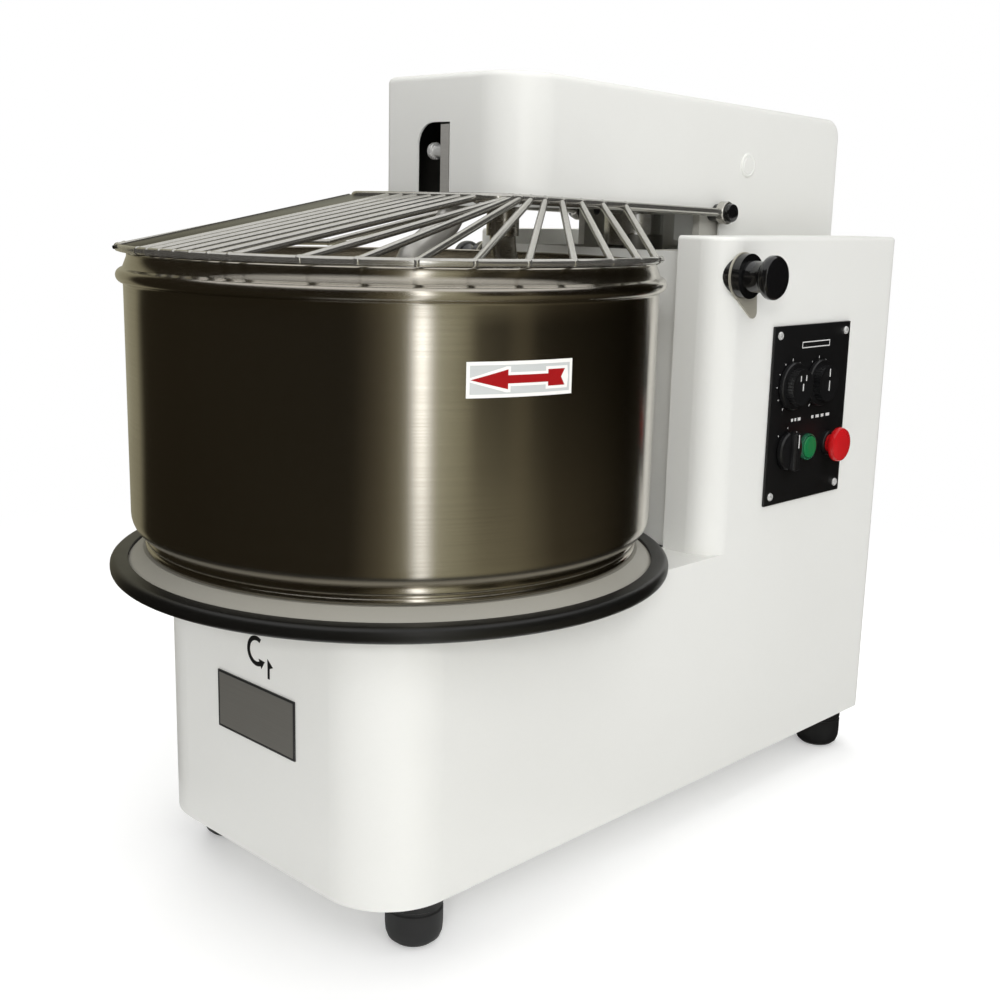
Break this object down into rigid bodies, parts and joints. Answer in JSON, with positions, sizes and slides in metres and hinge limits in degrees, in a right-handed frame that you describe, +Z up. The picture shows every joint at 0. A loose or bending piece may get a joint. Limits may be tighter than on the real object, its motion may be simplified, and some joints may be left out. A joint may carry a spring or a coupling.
{
  "type": "spiral dough mixer",
  "caption": "Floor-standing tilting-head spiral dough mixer with a stainless bowl on a driven turntable, wire guard, breaker bar, side control panel and rubber feet.",
  "frame": {"origin": "centre of the plan outline, on the floor under the feet", "axes": "+Z up, -Y to the front (bowl), +X to the side with the controls"},
  "size_m": [0.4879, 0.8125, 0.7018],
  "materials": {
    "white_paint": "semi-gloss",
    "stainless": "bright",
    "plain_steel": "machined",
    "bearing_steel": "ground",
    "zinc": "zinc plated",
    "motor_iron": "painted",
    "pulley_metal": "turned",
    "black_rubber": "matt",
    "black_plastic": "satin",
    "green_plastic": "gloss",
    "red_plastic": "gloss",
    "grey_plate": "satin",
    "white_plastic": "satin"
  },
  "bodies": {
    "body": {"body_shell": "white_paint", "bottom_plate": "zinc", "rear_cover": "white_paint", "rear_cover_screws": "zinc", "column_front_panel": "white_paint", "column_deck": "white_paint", "side_frame_left": "plain_steel", "side_frame_right": "plain_steel", "rubber_feet": "black_rubber", "cable_gland": "black_plastic", "bowl_bearing_housing": "plain_steel", "main_bearing_block": "plain_steel", "shaft_beam": "plain_steel", "base_bearings": "bearing_steel", "motor_bracket": "plain_steel", "motor_housing": "motor_iron", "motor_fan_cowl": "zinc", "drive_belt": "black_rubber", "bowl_chain": "plain_steel", "control_panel": "black_plastic", "panel_screws": "zinc", "switch_bodies": "black_plastic", "badge_plate": "grey_plate", "lock_bushes": "black_plastic", "lock_pointers": "stainless", "hinge_shaft": "plain_steel"},
    "motor": {"motor_rotor": "motor_iron", "motor_pulley": "pulley_metal"},
    "main_drive": {"main_shaft": "plain_steel", "main_pulley": "pulley_metal", "bowl_drive_sprocket": "plain_steel", "clutch_lower": "plain_steel"},
    "turntable": {"turntable": "white_paint", "turntable_trim": "black_rubber", "bowl_spindle": "plain_steel", "bowl_sprocket": "plain_steel"},
    "bowl": {"bowl": "stainless", "bowl_label": "grey_plate"},
    "head": {"head_casing": "white_paint", "head_plugs": "white_plastic", "head_frame": "plain_steel", "breaker_bar": "stainless", "breaker_bolt": "stainless", "head_bearing_housings": "plain_steel", "head_bearings": "bearing_steel", "head_chain": "plain_steel", "guard_pivot_bolts": "black_plastic"},
    "head_drive": {"head_drive_shaft": "plain_steel", "head_drive_sprocket": "plain_steel"},
    "spiral": {"spiral_tool": "stainless", "spiral_sprocket": "plain_steel"},
    "guard": {"guard": "stainless"},
    "lock_right": {"lock_knob_right": "black_plastic"},
    "lock_left": {"lock_knob_left": "black_plastic"},
    "timer_left": {"timer_knob_left": "black_plastic"},
    "timer_right": {"timer_knob_right": "black_plastic"},
    "selector": {"selector_knob": "black_plastic"},
    "start": {"start_button": "green_plastic"},
    "stop": {"stop_button": "red_plastic"}
  },
  "joints": [
    {"name": "head_tilt", "type": "hinge", "parent": "body", "child": "head", "pos_m": [0, 0.32, 0.53], "axis": [-1, 0, 0], "range_deg": [0, 45]},
    {"name": "guard_lift", "type": "hinge", "parent": "head", "child": "guard", "pos_m": [0, 0.184, 0.589], "axis": [-1, 0, 0], "range_deg": [0, 70]},
    {"name": "main_spin", "type": "hinge", "parent": "body", "child": "main_drive", "pos_m": [0, 0.16, 0.3], "axis": [0, 0, -1], "continuous": true},
    {"name": "motor_spin", "type": "hinge", "parent": "body", "child": "motor", "pos_m": [0, 0.325, 0.3], "axis": [0, 0, -1], "continuous": true},
    {"name": "bowl_spin", "type": "hinge", "parent": "body", "child": "turntable", "pos_m": [0, -0.16, 0.29], "axis": [0, 0, -1], "continuous": true},
    {"name": "head_drive_spin", "type": "hinge", "parent": "head", "child": "head_drive", "pos_m": [0, 0.16, 0.62], "axis": [0, 0, -1], "continuous": true},
    {"name": "spiral_spin", "type": "hinge", "parent": "head", "child": "spiral", "pos_m": [0, -0.03, 0.62], "axis": [0, 0, -1], "continuous": true},
    {"name": "bowl_twist", "type": "hinge", "parent": "turntable", "child": "bowl", "pos_m": [0, -0.16, 0.3], "axis": [0, 0, -1], "range_deg": [0, 15]},
    {"name": "lock_right_slide", "type": "slide", "parent": "body", "child": "lock_right", "axis": [1, 0, 0], "range_m": [-0.012, 0]},
    {"name": "lock_left_slide", "type": "slide", "parent": "body", "child": "lock_left", "axis": [-1, 0, 0], "range_m": [-0.012, 0]},
    {"name": "timer_left_turn", "type": "hinge", "parent": "body", "child": "timer_left", "pos_m": [0.17, 0.209, 0.425], "axis": [-1, 0, 0], "range_deg": [0, 300]},
    {"name": "timer_right_turn", "type": "hinge", "parent": "body", "child": "timer_right", "pos_m": [0.17, 0.257, 0.425], "axis": [-1, 0, 0], "range_deg": [0, 300]},
    {"name": "selector_turn", "type": "hinge", "parent": "body", "child": "selector", "pos_m": [0.17, 0.208, 0.361], "axis": [-1, 0, 0], "range_deg": [-45, 45]},
    {"name": "start_press", "type": "slide", "parent": "body", "child": "start", "axis": [-1, 0, 0], "range_m": [0, 0.003], "stiffness_N_per_m": 600},
    {"name": "stop_press", "type": "slide", "parent": "body", "child": "stop", "axis": [-1, 0, 0], "range_m": [0, 0.005], "stiffness_N_per_m": 600}
  ],
  "couplings": [
    {"joint": "motor_spin", "follows": "main_spin", "ratio": 8.25},
    {"joint": "bowl_spin", "follows": "main_spin", "ratio": 0.12088},
    {"joint": "head_drive_spin", "follows": "main_spin", "ratio": 1},
    {"joint": "spiral_spin", "follows": "main_spin", "ratio": 0.52941}
  ]
}
